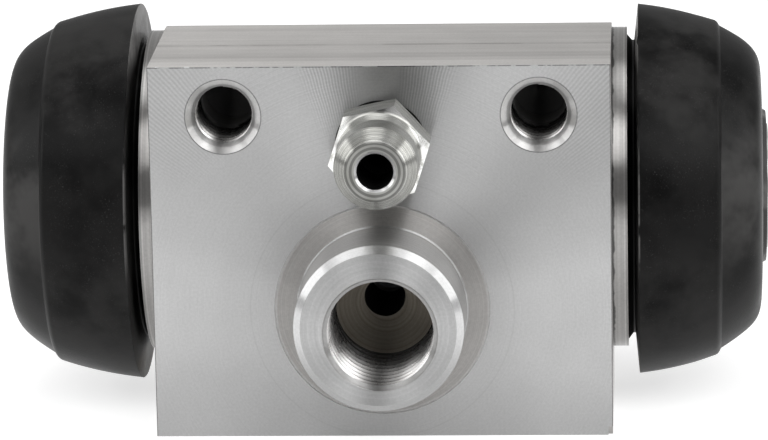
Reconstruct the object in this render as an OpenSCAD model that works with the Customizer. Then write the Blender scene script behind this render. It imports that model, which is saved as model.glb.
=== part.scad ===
// Hydraulic wheel cylinder of a drum brake, with an extruded aluminium body and two opposed pistons.
// X runs along the cylinder, +Y away from the backing plate, +Z up.
// The origin is on the inlet's axis, in the plane of the mounting face.

/* [Body] */
// Length of the extruded block along the cylinder
block_w = 41; // [38:0.5:50]
// Height of the mounting face
face_h = 33.9; // [32.5:0.1:40]
// Height of the inlet's axis above the base
inlet_above_base = 11.7; // [10.5:0.1:13]
// Distance of the cylinder's axis behind the mounting face
axis_back = 17.5; // [16:0.1:20]
// Radius of the round back, which the flat top runs into
back_r = 15.1; // [14.6:0.1:16]
// Depth of the flat base behind the mounting face
base_depth = 19; // [15:0.5:22]
// Rounding of the base's rear corner
base_corner_r = 1.2; // [0.5:0.1:2]
// Size of the knocked corner at the lower right of the mounting face
corner_nick = 0.4; // [0.1:0.1:0.8]

/* [Cylinder bore and turned ends] */
// Diameter of the bore
bore_d = 17.46; // [15:0.01:18.5]
// Chamfer at the bore's two mouths
bore_chamfer = 0.6; // [0.2:0.1:1]
// Radius of the turned collar at each end of the block
collar_r = 14.7; // [14.2:0.1:15]
// Length of the collar past the block
collar_len = 1.4; // [1:0.1:3]
// Wall between the bore and the boot's groove
spigot_wall = 2.55; // [1.8:0.05:2.9]
// Width of the boot's groove
groove_w = 1.5; // [1.2:0.1:2.5]
// Height of the lip that keeps the boot in its groove
lip_h = 0.9; // [0.5:0.1:1]
// Width of that lip
lip_w = 1.1; // [0.8:0.1:2]
// Chamfer on the lip's outer corner
lip_chamfer = 0.4; // [0.2:0.1:0.6]

/* [Mounting holes] */
// How far the drilled holes lie to the right of the block's middle
holes_aside = 0.15; // [0:0.05:0.4]
// Distance between the two mounting holes
mount_spacing = 28; // [24:0.5:31]
// Depth of their axes under the top
mount_below_top = 4.5; // [4:0.1:6]
// Thread diameter of the mounting holes
mount_d = 6; // [5:0.5:7]
// Depth of their thread
mount_thread = 8; // [6:0.1:9]
// Diameter of the drill behind the thread
mount_drill_d = 5; // [4:0.1:5.8]
// Depth of the drilled wall
mount_depth = 11.5; // [9.5:0.1:12]
// Diameter of the countersink at their mouths
mount_sink_d = 6.7; // [6:0.1:8]

/* [Inlet] */
// Thread diameter of the inlet
inlet_d = 10; // [8:0.5:11]
// How far the inlet's axis lies under the boss's
inlet_drop = 0.4; // [0:0.05:0.6]
// Diameter of the countersink at the inlet's mouth
inlet_sink_d = 10.3; // [10.1:0.1:11.5]
// Depth of the inlet's thread behind the mounting face
inlet_thread = 1; // [0:0.1:2]
// Diameter of the drill behind the thread
inlet_drill_d = 9; // [7:0.1:9.5]
// Depth of the drilled wall behind the mounting face
inlet_depth = 3.2; // [2.5:0.1:4]
// Outer diameter of the inlet's boss
boss_d = 15.1; // [14:0.1:17]
// Length of the boss in front of the mounting face
boss_len = 7.3; // [5:0.1:10]
// Chamfer on the boss's end
boss_chamfer = 0.65; // [0.3:0.05:1]
// Bevel left by the tool in the corner around the boss
boss_corner = 0.15; // [0.05:0.05:0.4]
// Diameter of the passage from the inlet to the bore
inlet_passage_d = 3.6; // [2.5:0.1:4]
// Diameter of the tool's ring in the face around the boss
face_ring_d = 19.3; // [18:0.1:21]
// Depth of that ring
face_ring_depth = 0.12; // [0.05:0.01:0.3]

/* [Bleed screw] */
// Height of the bleed screw's axis above the inlet's
bleed_above_inlet = 15; // [14.3:0.1:15.5]
// Thread diameter of the bleed screw
bleed_d = 7; // [6:0.5:7.5]
// Length of the screw's hole from the mounting face to its seat
bleed_depth = 8.6; // [7:0.1:9.2]
// Diameter of the passage from the seat to the bore
bleed_passage_d = 2.6; // [2:0.1:3]
// Diameter of the countersink at the hole's mouth
bleed_sink_d = 8.2; // [7.8:0.1:9]
// Space between the face and the hexagon
hex_gap = 0.35; // [0.3:0.05:1]
// Size of the hexagon across its flats
hex_af = 8; // [7:0.5:10]
// Length of the hexagon
hex_len = 3.8; // [3:0.1:6]
// Bevel of the hexagon's ends inside its flats
hex_bevel = 0.15; // [0.1:0.05:0.4]
// Turn of the hexagon
hex_turn = 12; // [0:1:60]
// Diameter of the neck behind the nipple's bulb
neck_d = 5.8; // [5:0.1:6.5]
// Length of the neck
neck_len = 1.9; // [1.2:0.1:3]
// Diameter of the nipple's bulb
bulb_d = 7.4; // [6.8:0.1:8.5]
// Length of the bulb
bulb_len = 3; // [2:0.1:5]
// Diameter of the nipple's tip
tip_d = 5.2; // [4.4:0.1:6]
// Length of the cone from the bulb to the tip
tip_len = 1.5; // [1:0.1:3]
// Diameter of the hole in the nipple
nipple_hole_d = 3.2; // [2:0.1:3.6]
// Chamfer at that hole's mouth
nipple_chamfer = 0.25; // [0.1:0.05:0.4]
// Diameter of the hole down the screw's core
core_hole_d = 2.2; // [2.1:0.1:2.6]
// Diameter of the cross hole at the screw's foot
cross_hole_d = 1.6; // [1:0.1:1.8]
// Space between the screw and its hole
screw_clearance = 0.05; // [0.03:0.01:0.09]

/* [Boots] */
// Length of a boot from the collar to its end
boot_len = 12.2; // [11.5:0.1:16]
// How much further the left piston stands out than the right one
left_out = 0.5; // [0:0.1:2]
// How much wider the left boot stands than the right one
left_wide = 0.3; // [0:0.05:0.6]
// Radius of the boot's rim
boot_rim_r = 17; // [16.5:0.05:19]
// Distance of the rim from the collar
boot_rim_gap = 1; // [0.9:0.05:1.6]
// Radius of the shoulder between the skirt and the dome
boot_shoulder_r = 15.45; // [14.8:0.05:16.3]
// Distance of the shoulder from the collar
boot_shoulder = 7.85; // [7:0.05:9]
// Drop from the shoulder to the dome
boot_step = 0.6; // [0.3:0.05:1]
// Radius of the flat end of the dome
boot_end_r = 9.8; // [8.6:0.1:11]
// Radius of the raised hub on the dome's end
boot_hub_r = 6.9; // [6.5:0.1:7.5]
// Height of the hub
boot_hub_h = 0.45; // [0.2:0.05:1]
// Thickness of the rubber
boot_wall = 1.3; // [0.9:0.1:1.5]
// Thickness of the bead that sits in the groove
bead_t = 2.2; // [1.6:0.1:2.4]

/* [Pistons] */
// Space between a piston and the bore
piston_clearance = 0.03; // [0.01:0.01:0.1]
// Overall length of a piston
piston_len = 22.7; // [20:0.1:24]
// Length of the piston's full diameter
piston_guide = 12.8; // [10:0.1:14]
// Diameter of the piston's nose
nose_d = 11.4; // [10:0.1:12]
// Part of the nose that stands out of the boot's hub
nose_proud = 0.15; // [0.1:0.05:2]
// Depth of the boot's groove in the nose
nose_groove = 0.6; // [0.4:0.05:0.8]
// Space between the boot's end and the nose's groove
boot_clearance = 0.1; // [0.05:0.05:0.2]
// Diameter of the socket for the brake shoe's strut
socket_d = 7; // [5:0.5:8]
// Depth of the socket's straight wall
socket_depth = 8; // [5:0.5:10]
// Chamfer on the piston's edges
piston_chamfer = 0.5; // [0.2:0.1:1]

/* [Seals and spring] */
// Space between a cup seal's lip and the bore
seal_clearance = 0.02; // [0.01:0.01:0.08]
// Length of a cup seal
cup_len = 5.6; // [4.5:0.1:6]
// Thickness of the cup's back
cup_back = 2.3; // [1.5:0.1:3]
// Thickness of the cup's lip at its root
cup_lip = 2.2; // [1.5:0.1:3]
// Thickness of the expander's sheet
expander_t = 0.6; // [0.4:0.1:0.8]
// Length of the expander
expander_len = 3; // [2:0.1:4]
// Taper of the expander's skirt
expander_taper = 1.1; // [0.5:0.1:1.5]
// Space between the expander and the cup's lip
expander_clearance = 0.15; // [0.05:0.05:0.3]
// Diameter of the hole in the expander's floor
expander_hole_d = 3; // [2:0.5:4]
// Thickness of the spring's wire
wire_d = 0.9; // [0.6:0.1:1.2]
// Open coils of the spring
spring_coils = 5; // [3:1:7]
// Space between the spring and its seats
spring_clearance = 0.06; // [0.04:0.01:0.2]

/* [Hidden] */
$fn = 96;

drill_angle = 59;
seat_angle = 45;
hex_half_angle = 30;
hex_bevel_angle = 30;
neck_cone_angle = 55;
over = 1;

// Proportions of a boot's section
neck_flare = 0.55;
neck_fold = [0.45, 0.65];
skirt_bow = [0.4, 0];
shoulder_back = 0.25;
shoulder_turn = [-0.125, 0.667];
dome_start = [-0.53, 0.9];
dome_flat = 0.53;

// Proportions of a cup seal's lip and of the spring's closed coils
cup_heel = [0.33, 0.17];
cup_edge = [0.25, 0.5];
closed_coil = 1.08;

// Depth of the nose's bead under the dome's end, in thicknesses of the rubber
bead_inset = 0.33;

base_z = -inlet_above_base;
top_z = face_h - inlet_above_base;
axis_z = top_z - back_r;
mount_z = top_z - mount_below_top;
bore_r = bore_d / 2;

block_x = block_w / 2;
collar_x = block_x + collar_len;
groove_x = collar_x + groove_w;
lip_x = groove_x + lip_w;
groove_r = bore_r + spigot_wall;
lip_r = groove_r + lip_h;
boot_neck_r = groove_r + bead_t;
boot_rim_x = collar_x + boot_rim_gap;

nose_r = nose_d / 2;
nose_groove_r = nose_r - nose_groove;
cup_r = bore_r - seal_clearance;
expander_r = cup_r - cup_lip - expander_clearance;
expander_floor_r = expander_r - expander_taper;

// Distances from the middle, for a piston that stands out further by "out"
function boot_end(out) = collar_x + boot_len + out;
function piston_out(out) = boot_end(out) + boot_hub_h + nose_proud;
function boot_bead_out(out) = boot_end(out) - boot_wall * bead_inset;
function piston_in(out) = piston_out(out) - piston_len;
function cup_floor(out) = piston_in(out) - cup_back;
function spring_seat(out) = cup_floor(out) - expander_t;

// Point at "t" on the curve with the control points "p"
function bezier(p, t) =
    len(p) == 1 ? p[0] : bezier([for (i = [0 : len(p) - 2]) p[i] + t * (p[i + 1] - p[i])], t);
function curve(p, steps) = [for (i = [0 : steps]) bezier(p, i / steps)];

// Turns a [radius, x] outline about the cylinder's axis
module turned(outline) {
    translate([0, axis_back, axis_z])
        rotate([0, 90, 0])
            rotate_extrude()
                polygon(outline);
}

// Turns a [radius, depth] outline about a hole's axis at height z; depth runs into the body
module drilled(outline, x, z) {
    translate([x, 0, z])
        rotate([-90, 0, 0])
            rotate_extrude()
                polygon(outline);
}

module both_ends() {
    children();
    mirror([1, 0, 0])
        children();
}

// Angle, at the cylinder's axis, of the point where the sloping flank meets the round back
flank_dy = base_depth - base_corner_r - axis_back;
flank_dz = base_z + base_corner_r - axis_z;
flank_angle = atan2(flank_dz, flank_dy) + acos((back_r - base_corner_r) / norm([flank_dy, flank_dz]));
flank_normal = [cos(flank_angle), sin(flank_angle)];

module body_section() {
    back = [axis_back, axis_z];
    corner = [base_depth - base_corner_r, base_z + base_corner_r];
    translate(back)
        circle(back_r);
    translate(corner)
        circle(base_corner_r);
    polygon([
        [0, base_z],
        [corner[0], base_z],
        corner + base_corner_r * flank_normal,
        back + back_r * flank_normal,
        back,
        [axis_back, top_z],
        [0, top_z]
    ]);
}

// Hole with a countersunk mouth at the depth "from", a thread, and the bare drill with its cone behind it
module tapped_hole(d, sink_d, from, thread, drill_d, depth, end_d, x, z) {
    sink = (sink_d - d) / 2;
    run_out = (d - drill_d) / 2;
    cone = (drill_d - end_d) / 2 / tan(drill_angle);
    drilled([
        [0, from - over],
        [sink_d / 2, from - over],
        [sink_d / 2, from],
        [d / 2, from + sink],
        [d / 2, thread - run_out],
        [drill_d / 2, thread],
        [drill_d / 2, depth],
        [end_d / 2, depth + cone],
        [0, depth + cone]
    ], x, z);
}

// Hole of the bleed screw, with the cone at its end that the screw closes on
module bleed_hole() {
    sink = (bleed_sink_d - bleed_d) / 2;
    seat = (bleed_d - bleed_passage_d) / 2 / tan(seat_angle);
    drilled([
        [0, -over],
        [bleed_sink_d / 2, -over],
        [bleed_sink_d / 2, 0],
        [bleed_d / 2, sink],
        [bleed_d / 2, bleed_depth],
        [bleed_passage_d / 2, bleed_depth + seat],
        [0, bleed_depth + seat]
    ], holes_aside, bleed_above_inlet);
}

// Small passage from the end of a hole to the middle of the bore
module passage(d, from, x, z) {
    half_chord = sqrt(bore_r * bore_r - (z - axis_z) * (z - axis_z));
    to = axis_back - half_chord / 2;
    drilled([
        [0, from],
        [d / 2, from],
        [d / 2, to],
        [0, to]
    ], x, z);
}

module body() {
    color("#b9babb")
    difference() {
        union() {
            translate([-block_x, 0, 0])
                rotate([90, 0, 90])
                    linear_extrude(block_w)
                        body_section();
            both_ends()
                turned([
                    [0, 0],
                    [collar_r, 0],
                    [collar_r, collar_x],
                    [groove_r, collar_x],
                    [groove_r, groove_x],
                    [lip_r, groove_x],
                    [lip_r, lip_x - lip_chamfer],
                    [lip_r - lip_chamfer, lip_x],
                    [0, lip_x]
                ]);
            drilled([
                [0, face_ring_depth],
                [boss_d / 2 + boss_corner, face_ring_depth],
                [boss_d / 2, face_ring_depth - boss_corner],
                [boss_d / 2, boss_chamfer - boss_len],
                [boss_d / 2 - boss_chamfer, -boss_len],
                [0, -boss_len]
            ], 0, 0);
        }
        both_ends()
            turned([
                [0, -over],
                [bore_r, -over],
                [bore_r, lip_x - bore_chamfer],
                [bore_r + bore_chamfer, lip_x],
                [bore_r + bore_chamfer, lip_x + over],
                [0, lip_x + over]
            ]);
        drilled([
            [boss_d / 2, -over],
            [face_ring_d / 2, -over],
            [face_ring_d / 2, face_ring_depth],
            [boss_d / 2 + boss_corner, face_ring_depth],
            [boss_d / 2, face_ring_depth - boss_corner]
        ], 0, 0);
        for (x = [-mount_spacing / 2, mount_spacing / 2])
            tapped_hole(mount_d, mount_sink_d, 0, mount_thread, mount_drill_d, mount_depth, 0,
                        holes_aside + x, mount_z);
        tapped_hole(inlet_d, inlet_sink_d, -boss_len, inlet_thread, inlet_drill_d, inlet_depth,
                    inlet_passage_d, holes_aside, -inlet_drop);
        passage(inlet_passage_d, inlet_depth, 0, 0);
        bleed_hole();
        passage(bleed_passage_d, bleed_depth, holes_aside, bleed_above_inlet);
        translate([block_x, 0, base_z])
            rotate([90, 0, 90])
                translate([0, 0, -corner_nick])
                    linear_extrude(corner_nick + over)
                        polygon([
                            [-over, -over],
                            [corner_nick, -over],
                            [corner_nick, 0],
                            [0, 2 * corner_nick],
                            [-over, 2 * corner_nick]
                        ]);
    }
}

module bleed_screw() {
    thread_r = bleed_d / 2 - screw_clearance;
    passage_r = bleed_passage_d / 2;
    foot = bleed_depth - screw_clearance / tan(seat_angle / 2);
    foot_end = foot + (thread_r - passage_r) / tan(seat_angle);
    cross_y = foot - cross_hole_d;
    hex_back = -hex_gap;
    hex_front = hex_back - hex_len;
    bulb_back = hex_front - neck_len;
    bulb_front = bulb_back - bulb_len;
    tip = bulb_front - tip_len;
    hex_face_r = hex_af / 2 - hex_bevel;
    cone_front = hex_front - (hex_face_r - neck_d / 2) * tan(neck_cone_angle);
    color("#c3c2b4")
    difference() {
        union() {
            drilled([
                [0, hex_back],
                [thread_r, hex_back],
                [thread_r, foot],
                [passage_r, foot_end],
                [0, foot_end]
            ], holes_aside, bleed_above_inlet);
            intersection() {
                translate([holes_aside, hex_front, bleed_above_inlet])
                    rotate([-90, 0, 0])
                        rotate([0, 0, -hex_turn])
                            cylinder(h = hex_len, d = hex_af / cos(hex_half_angle), $fn = 6);
                drilled([
                    [0, hex_back],
                    [hex_face_r, hex_back],
                    [hex_face_r + hex_len / 2 / tan(hex_bevel_angle), hex_back - hex_len / 2],
                    [hex_face_r, hex_front],
                    [0, hex_front]
                ], holes_aside, bleed_above_inlet);
            }
            drilled([
                [0, hex_front],
                [hex_face_r, hex_front],
                [neck_d / 2, cone_front],
                [neck_d / 2, bulb_back],
                [bulb_d / 2, bulb_back],
                [bulb_d / 2, bulb_front],
                [tip_d / 2, tip],
                [0, tip]
            ], holes_aside, bleed_above_inlet);
        }
        drilled([
            [0, tip - over],
            [nipple_hole_d / 2 + nipple_chamfer + over, tip - over],
            [nipple_hole_d / 2, tip + nipple_chamfer],
            [nipple_hole_d / 2, hex_front],
            [core_hole_d / 2, hex_front + (nipple_hole_d - core_hole_d) / 2],
            [core_hole_d / 2, cross_y],
            [0, cross_y + core_hole_d / 2 / tan(drill_angle)]
        ], holes_aside, bleed_above_inlet);
        translate([holes_aside, cross_y, bleed_above_inlet])
            cylinder(h = bleed_d + over, d = cross_hole_d, center = true);
    }
}

// Skirt, shoulder and dome of a boot, "inset" into the rubber from the outside
function boot_curve(out, wide, inset) =
    let (
        rim = [boot_rim_r + wide - inset, boot_rim_x + inset],
        shoulder = [boot_shoulder_r + wide - inset, collar_x + boot_shoulder + out - inset * shoulder_back],
        step = shoulder + [-boot_step, boot_step],
        end = [boot_end_r + wide - inset / 2, boot_end(out) - inset],
        reach = end[1] - step[1],
        fall = step[0] - end[0]
    )
    concat(
        curve([rim, (rim + shoulder) / 2 + skirt_bow, shoulder], 8),
        curve([shoulder, shoulder + boot_step * shoulder_turn, step], 4),
        curve([step, step + reach * dome_start, [step[0] - dome_flat * fall, end[1]], end], 14)
    );

module boot(out, wide) {
    inner = boot_curve(out, wide, boot_wall);
    lip_hole_r = nose_groove_r + boot_clearance;
    color("#2e2e30")
    turned(concat(
        [
            [groove_r, collar_x],
            [boot_neck_r + neck_flare, collar_x],
            [boot_neck_r, collar_x + boot_rim_gap * neck_fold[0]],
            [boot_neck_r, collar_x + boot_rim_gap * neck_fold[1]]
        ],
        boot_curve(out, wide, 0),
        [
            [boot_hub_r + boot_hub_h / 2, boot_end(out)],
            [boot_hub_r, boot_end(out) + boot_hub_h],
            [nose_r + boot_clearance, boot_end(out) + boot_hub_h],
            [nose_r + boot_clearance, boot_bead_out(out)],
            [lip_hole_r, boot_bead_out(out)],
            [lip_hole_r, boot_end(out) - boot_wall]
        ],
        [for (i = [len(inner) - 1 : -1 : 0]) inner[i]],
        [
            [boot_neck_r, boot_rim_x + boot_wall],
            [lip_r + boot_clearance, groove_x - boot_clearance],
            [groove_r, groove_x - boot_clearance]
        ]
    ));
}

module boot_right() {
    boot(0, 0);
}

module boot_left() {
    mirror([1, 0, 0])
        boot(left_out, left_wide);
}

module piston(out) {
    guide_r = bore_r - piston_clearance;
    inner = piston_in(out);
    outer = piston_out(out);
    guide_end = inner + piston_guide;
    groove_out = boot_bead_out(out) + boot_clearance;
    groove_in = boot_end(out) - boot_wall - boot_clearance;
    socket_floor = outer - socket_depth;
    socket_cone = socket_d / 2 / tan(drill_angle);
    color("#cfcfca")
    turned([
        [0, inner],
        [guide_r - piston_chamfer, inner],
        [guide_r, inner + piston_chamfer],
        [guide_r, guide_end - piston_chamfer],
        [guide_r - piston_chamfer, guide_end],
        [nose_r, guide_end],
        [nose_r, groove_in],
        [nose_groove_r, groove_in],
        [nose_groove_r, groove_out],
        [nose_r, groove_out],
        [nose_r, outer],
        [socket_d / 2, outer],
        [socket_d / 2, socket_floor],
        [0, socket_floor - socket_cone]
    ]);
}

module piston_right() {
    piston(0);
}

module piston_left() {
    mirror([1, 0, 0])
        piston(left_out);
}

module cup_seal(out) {
    back = piston_in(out);
    floor = cup_floor(out);
    edge = back - cup_len;
    lip_root_r = cup_r - cup_lip;
    color("#1d1d1f")
    turned([
        [0, back],
        [cup_r - cup_back * cup_heel[0], back],
        [cup_r - cup_back * cup_heel[1], floor],
        [cup_r, edge + cup_lip * cup_edge[0]],
        [cup_r - cup_lip * cup_edge[0], edge],
        [cup_r - cup_lip * cup_edge[1], edge],
        [lip_root_r, floor],
        [0, floor]
    ]);
}

module cup_seal_right() {
    cup_seal(0);
}

module cup_seal_left() {
    mirror([1, 0, 0])
        cup_seal(left_out);
}

// Pressed sheet dish that holds the seal's lip out and seats the spring
module cup_expander(out) {
    back = cup_floor(out);
    floor = spring_seat(out);
    edge = back - expander_len;
    color("#a9a58a")
    turned([
        [expander_hole_d / 2, back],
        [expander_floor_r, back],
        [expander_r, edge],
        [expander_r - expander_t, edge],
        [expander_floor_r - expander_t, floor],
        [expander_hole_d / 2, floor]
    ]);
}

module cup_expander_right() {
    cup_expander(0);
}

module cup_expander_left() {
    mirror([1, 0, 0])
        cup_expander(left_out);
}

// Wire coiled between the two expanders, with a closed coil at each end
module return_spring() {
    steps = 20;
    sides = 8;
    from = -spring_seat(left_out) + spring_clearance + wire_d / 2;
    to = spring_seat(0) - spring_clearance - wire_d / 2;
    coil_r = expander_floor_r - expander_t - spring_clearance - wire_d / 2;
    closed = wire_d * closed_coil;
    turns = spring_coils + 2;
    pitch = (to - from - 2 * closed) / spring_coils;
    along = [for (i = [0 : turns * steps])
        let (t = i / steps)
        from + closed * (min(t, 1) + max(t - turns + 1, 0)) + pitch * min(max(t - 1, 0), spring_coils)];
    points = [for (i = [0 : turns * steps]) for (k = [0 : sides - 1])
        let (a = 360 * i / steps, b = 360 * k / sides, r = coil_r + wire_d / 2 * cos(b))
        [along[i] + wire_d / 2 * sin(b), axis_back + r * cos(a), axis_z + r * sin(a)]];
    last = turns * steps * sides;
    tube = [for (i = [0 : turns * steps - 1]) for (k = [0 : sides - 1])
        let (a = i * sides + k, b = i * sides + (k + 1) % sides)
        [a, b, b + sides, a + sides]];
    caps = [
        [for (k = [sides - 1 : -1 : 0]) k],
        [for (k = [0 : sides - 1]) last + k]
    ];
    color("#8e9092")
    polyhedron(points, concat(tube, caps), convexity = 10);
}

body();
bleed_screw();
boot_left();
boot_right();
piston_left();
piston_right();
cup_seal_left();
cup_seal_right();
cup_expander_left();
cup_expander_right();
return_spring();
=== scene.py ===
import math
from types import SimpleNamespace

import bmesh
import bpy
from mathutils import Matrix, Vector, noise


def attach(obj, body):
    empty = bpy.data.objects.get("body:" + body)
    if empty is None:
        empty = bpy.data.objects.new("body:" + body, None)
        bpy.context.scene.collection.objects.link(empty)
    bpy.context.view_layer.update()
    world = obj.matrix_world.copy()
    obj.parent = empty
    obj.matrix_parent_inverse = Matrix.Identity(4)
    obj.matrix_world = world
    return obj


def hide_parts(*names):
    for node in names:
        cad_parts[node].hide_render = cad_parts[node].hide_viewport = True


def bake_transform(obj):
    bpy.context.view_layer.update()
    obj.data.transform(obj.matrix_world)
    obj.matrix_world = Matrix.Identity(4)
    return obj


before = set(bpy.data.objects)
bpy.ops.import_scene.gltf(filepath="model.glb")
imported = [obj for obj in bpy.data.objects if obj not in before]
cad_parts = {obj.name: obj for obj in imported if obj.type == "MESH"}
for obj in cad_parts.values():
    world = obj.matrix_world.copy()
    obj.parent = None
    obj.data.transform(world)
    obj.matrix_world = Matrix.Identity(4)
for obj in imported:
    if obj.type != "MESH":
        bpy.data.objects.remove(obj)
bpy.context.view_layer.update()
MM = 0.001

# Sizes in millimetres, as in the part's source: first the cylinder's axis, the block and its ends
AXIS_Y, AXIS_Z = 17.5, 7.1
BLOCK_X, TOP_Z, BASE_Z = 20.5, 22.2, -11.7
COLLAR_X, BORE_R = 21.9, 8.73
GROOVE_R, GROOVE_X, LIP_R = 11.28, 23.4, 12.18
# Holes from the face, which all end before HOLES_END_Y
HOLES_X, HOLES_END_Y = 0.15, 16.0
MOUNT_X, MOUNT_Z, MOUNT_R, MOUNT_SINK_R, MOUNT_THREAD = 14.0, 17.7, 3.0, 3.35, 8.0
INLET_Z, INLET_SINK_R, INLET_DEPTH = -0.4, 5.15, 3.2
PASSAGE_R, PASSAGE_END_Y = 1.8, 13.5
BLEED_Z, BLEED_SINK_R, NIPPLE_HOLE_R = 15.0, 4.1, 1.6
# Inlet boss, and the ring turned round it
BOSS_R, BOSS_LEN, BOSS_CHAMFER, RING_R, RING_DEPTH = 7.55, 7.3, 0.65, 9.65, 0.12
# Boots; the left one reaches further out and is wider
BOOT_RIM_X, BOOT_SHOULDER_X, BOOT_END = COLLAR_X + 1.0, COLLAR_X + 7.85, COLLAR_X + 12.2
BOOT_RIM_R, BOOT_SHOULDER_R, BOOT_END_R, BOOT_NECK_R = 17.0, 15.45, 9.8, 13.48
BOOT_HUB_R, BOOT_HUB_HIGH, BOOT_NOSE_R, BOOT_BEAD_R = 6.9, 0.45, 5.8, 5.2
BOOT_WALL, BOOT_STEP = 1.3, 0.6
LEFT_OUT, LEFT_WIDE = 0.5, 0.3
# Visible threads
THREAD_PITCH = 1.0
INLET_START, INLET_END, INLET_CREST_R, INLET_TAPER, INLET_RIDGE = -6.55, 2.6, 4.7, 0.035, 0.65
MOUNT_START, MOUNT_END, MOUNT_CREST_R, MOUNT_RIDGE = 1.15, MOUNT_THREAD - 0.4, MOUNT_R - 0.5, 0.5


class Nodes:
    """Adds nodes to a tree; every call gives back an output socket."""

    def __init__(self, tree):
        self.tree = tree

    def put(self, socket, value):
        if isinstance(value, bpy.types.NodeSocket):
            self.tree.links.new(value, socket)
        else:
            socket.default_value = value

    def add(self, kind, *values, out=0, named=None, **settings):
        node = self.tree.nodes.new(kind)
        for name, setting in settings.items():
            setattr(node, name, setting)
        for socket, value in zip(node.inputs, values):
            if value is not None:
                self.put(socket, value)
        for name, value in (named or {}).items():
            self.put(node.inputs[name], value)
        return node.outputs[out]

    def math(self, operation, *values):
        return self.add("ShaderNodeMath", *values, operation=operation)

    def vector(self, operation, *values, out=0):
        return self.add("ShaderNodeVectorMath", *values, operation=operation, out=out)

    def scaled(self, vector, factor):
        return self.add("ShaderNodeVectorMath", operation="SCALE",
                        named={"Vector": vector, "Scale": factor})

    def joined(self, x, y, z):
        return self.add("ShaderNodeCombineXYZ", x, y, z)

    def parts(self, vector):
        node = self.tree.nodes.new("ShaderNodeSeparateXYZ")
        self.put(node.inputs[0], vector)
        return node.outputs[0], node.outputs[1], node.outputs[2]

    def rise(self, value, low, high, to_low=0.0, to_high=1.0):
        """A smooth step from to_low at low to to_high at high."""
        return self.add("ShaderNodeMapRange", value, low, high, to_low, to_high,
                        interpolation_type="SMOOTHSTEP")

    def noise(self, vector, scale, detail=2.0, rough=0.5):
        return self.add("ShaderNodeTexNoise",
                        named={"Vector": vector, "Scale": scale, "Detail": detail, "Roughness": rough})

    def lines(self, along, scale, detail=2.0, rough=0.6):
        """Noise that changes in one direction only."""
        return self.add("ShaderNodeTexNoise", noise_dimensions="1D",
                        named={"W": along, "Scale": scale, "Detail": detail, "Roughness": rough})

    def below(self, value, limit):
        return self.math("LESS_THAN", value, limit)

    def above(self, value, limit):
        return self.math("GREATER_THAN", value, limit)

    def either(self, first, second):
        return self.math("MAXIMUM", first, second)

    def both(self, first, *others):
        """The product of all: where zones overlap, or a zone times its strength."""
        for other in others:
            first = self.math("MULTIPLY", first, other)
        return first

    def near(self, value, middle, core, edge):
        """1 within core of the middle, 0 beyond edge."""
        offset = self.math("ABSOLUTE", self.math("SUBTRACT", value, middle))
        return self.rise(offset, core, edge, 1.0, 0.0)

    def from_axis(self, a, a_axis, b, b_axis):
        """Offsets and distance from an axis."""
        da, db = self.math("SUBTRACT", a, a_axis), self.math("SUBTRACT", b, b_axis)
        return da, db, self.vector("LENGTH", self.joined(da, db, 0.0), out=1)

    def around_y(self, dx, dz):
        """Direction of a circle about an axis along Y."""
        return self.joined(dz, 0.0, self.math("MULTIPLY", dx, -1.0))

    def around_x(self, dy, dz):
        """Direction of a circle about an axis along X."""
        return self.joined(0.0, self.math("MULTIPLY", dz, -1.0), dy)

    def mix(self, factor, a, b):
        return self.add("ShaderNodeMix", data_type="FLOAT", named={0: factor, 2: a, 3: b})

    def mix_vector(self, factor, a, b):
        return self.add("ShaderNodeMix", data_type="VECTOR", out=1, named={0: factor, 4: a, 5: b})

    def mix_colour(self, factor, a, b, blend="MIX"):
        return self.add("ShaderNodeMix", data_type="RGBA", out=2, blend_type=blend,
                        named={0: factor, 6: a, 7: b})


class Finish(Nodes):
    """A procedural material: one Principled shader and what feeds it, on a point in millimetres."""

    def __init__(self, name, **fixed):
        self.material = bpy.data.materials.new(name)
        self.material.use_nodes = True
        super().__init__(self.material.node_tree)
        self.tree.nodes.clear()
        self.shader = self.tree.nodes.new("ShaderNodeBsdfPrincipled")
        output = self.tree.nodes.new("ShaderNodeOutputMaterial")
        self.tree.links.new(self.shader.outputs[0], output.inputs["Surface"])
        for socket, value in fixed.items():
            self.shader.inputs[socket.replace("_", " ")].default_value = value
        coordinates = self.tree.nodes.new("ShaderNodeTexCoord")
        self.point = self.scaled(coordinates.outputs["Object"], 1 / MM)
        self.normal = self.tree.nodes.new("ShaderNodeNewGeometry").outputs["Normal"]

    def feed(self, socket, value):
        self.put(self.shader.inputs[socket], value)

    def bump(self, height, depth, strength=1.0):
        self.feed("Normal", self.add("ShaderNodeBump", named={
            "Strength": strength, "Distance": depth * MM, "Height": height}))

    def brush(self, marks):
        """Stretches the reflection across tool marks of the given direction."""
        self.feed("Tangent", self.vector("NORMALIZE", self.vector("CROSS_PRODUCT", self.normal, marks)))

    def painted(self, colour, *layers):
        """Lays each (zone, colour) over the colour before it."""
        for zone, layer in layers:
            colour = self.mix_colour(zone, colour, layer)
        return colour

    def shaded(self, colour, shade):
        return self.mix_colour(1.0, colour, self.joined(shade, shade, shade), "MULTIPLY")

    def dimmed(self, zone, amount):
        """A shade that is darker by amount in the zone."""
        return self.math("MULTIPLY_ADD", zone, -amount, 1.0)


def grey(value, warm=0.0):
    return (value * (1 + warm), value, value * (1 - warm), 1.0)


# Aluminium body

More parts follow.
